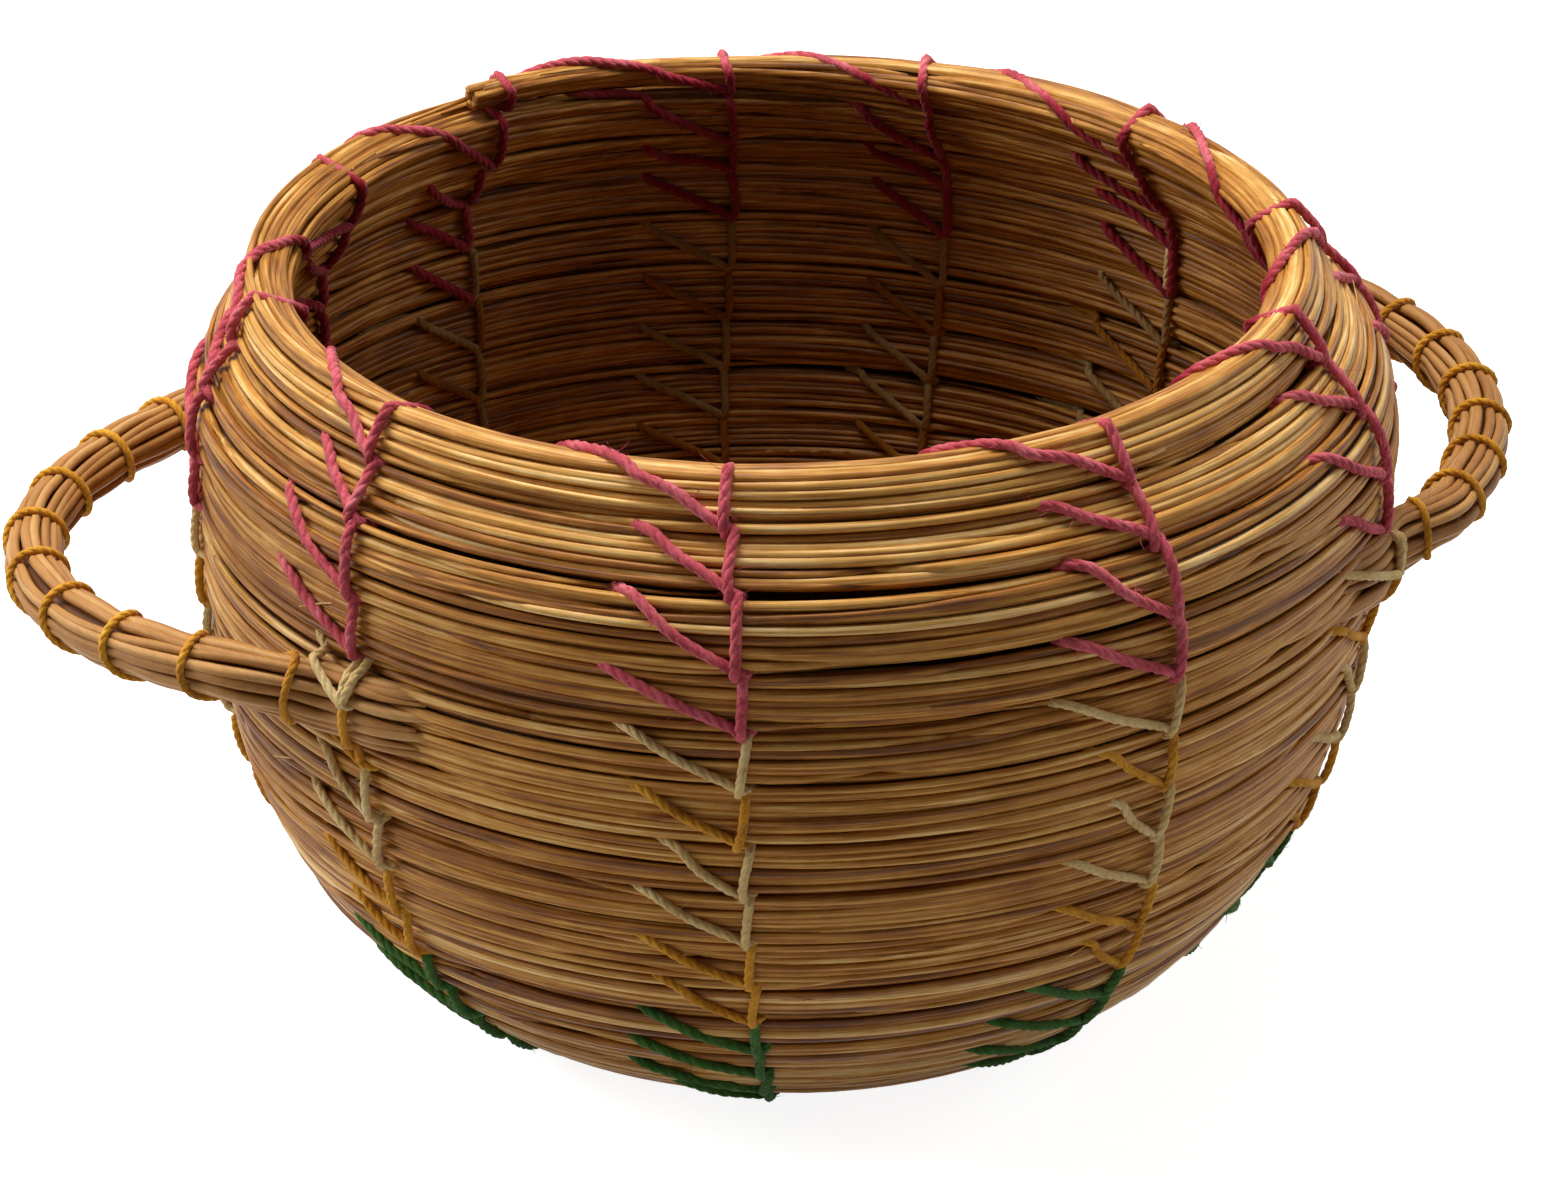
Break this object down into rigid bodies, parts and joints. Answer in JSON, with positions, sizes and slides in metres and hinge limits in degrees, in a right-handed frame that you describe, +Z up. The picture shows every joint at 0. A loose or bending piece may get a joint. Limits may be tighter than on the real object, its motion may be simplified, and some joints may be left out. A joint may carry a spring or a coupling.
{
  "type": "pine needle basket",
  "caption": "Round coiled pine needle basket: one long bundle sewn in feathered columns, flat base, swelling wall, inturned rim and a wrapped loop handle on each side.",
  "frame": {"origin": "on the floor plane under the middle of the overall width and depth, handles included; the coil's own axis stands at x 2.1 mm, y 0.2 mm", "axes": "+Z up through the mouth, X from handle to handle with the left handle towards -X, -Y towards the front of the basket"},
  "size_m": [0.1766, 0.1414, 0.0928],
  "materials": {
    "needles": "dried golden brown pine needles, satin",
    "handle_needles": "dried pinkish tan pine needles, satin",
    "rose_thread": "rose red stranded thread, matte",
    "cream_thread": "cream stranded thread, matte",
    "ochre_thread": "ochre stranded thread, matte",
    "green_thread": "dark green stranded thread, matte"
  },
  "bodies": {
    "root": {"needle_coil": "needles", "rose_thread_round_1": "rose_thread", "rose_thread_round_2": "rose_thread", "rose_thread_round_3": "rose_thread", "rose_thread_round_4": "rose_thread", "cream_thread_round_5": "cream_thread", "ochre_thread_round_6": "ochre_thread", "cream_thread_round_7": "cream_thread", "cream_thread_round_8": "cream_thread", "ochre_thread_round_9": "ochre_thread", "ochre_thread_round_10": "ochre_thread", "green_thread_round_11": "green_thread", "green_thread_round_12": "green_thread", "green_thread_round_13": "green_thread", "green_thread_round_14": "green_thread", "green_thread_round_15": "green_thread", "green_thread_round_16": "green_thread", "green_thread_round_17": "green_thread", "green_thread_round_18": "green_thread", "green_thread_round_19": "green_thread", "left_handle": "handle_needles", "left_handle_wrap": "ochre_thread", "left_handle_front_lashing": "cream_thread", "left_handle_rear_lashing": "cream_thread", "right_handle": "handle_needles", "right_handle_wrap": "ochre_thread", "right_handle_front_lashing": "cream_thread", "right_handle_rear_lashing": "cream_thread"}
  },
  "joints": []
}
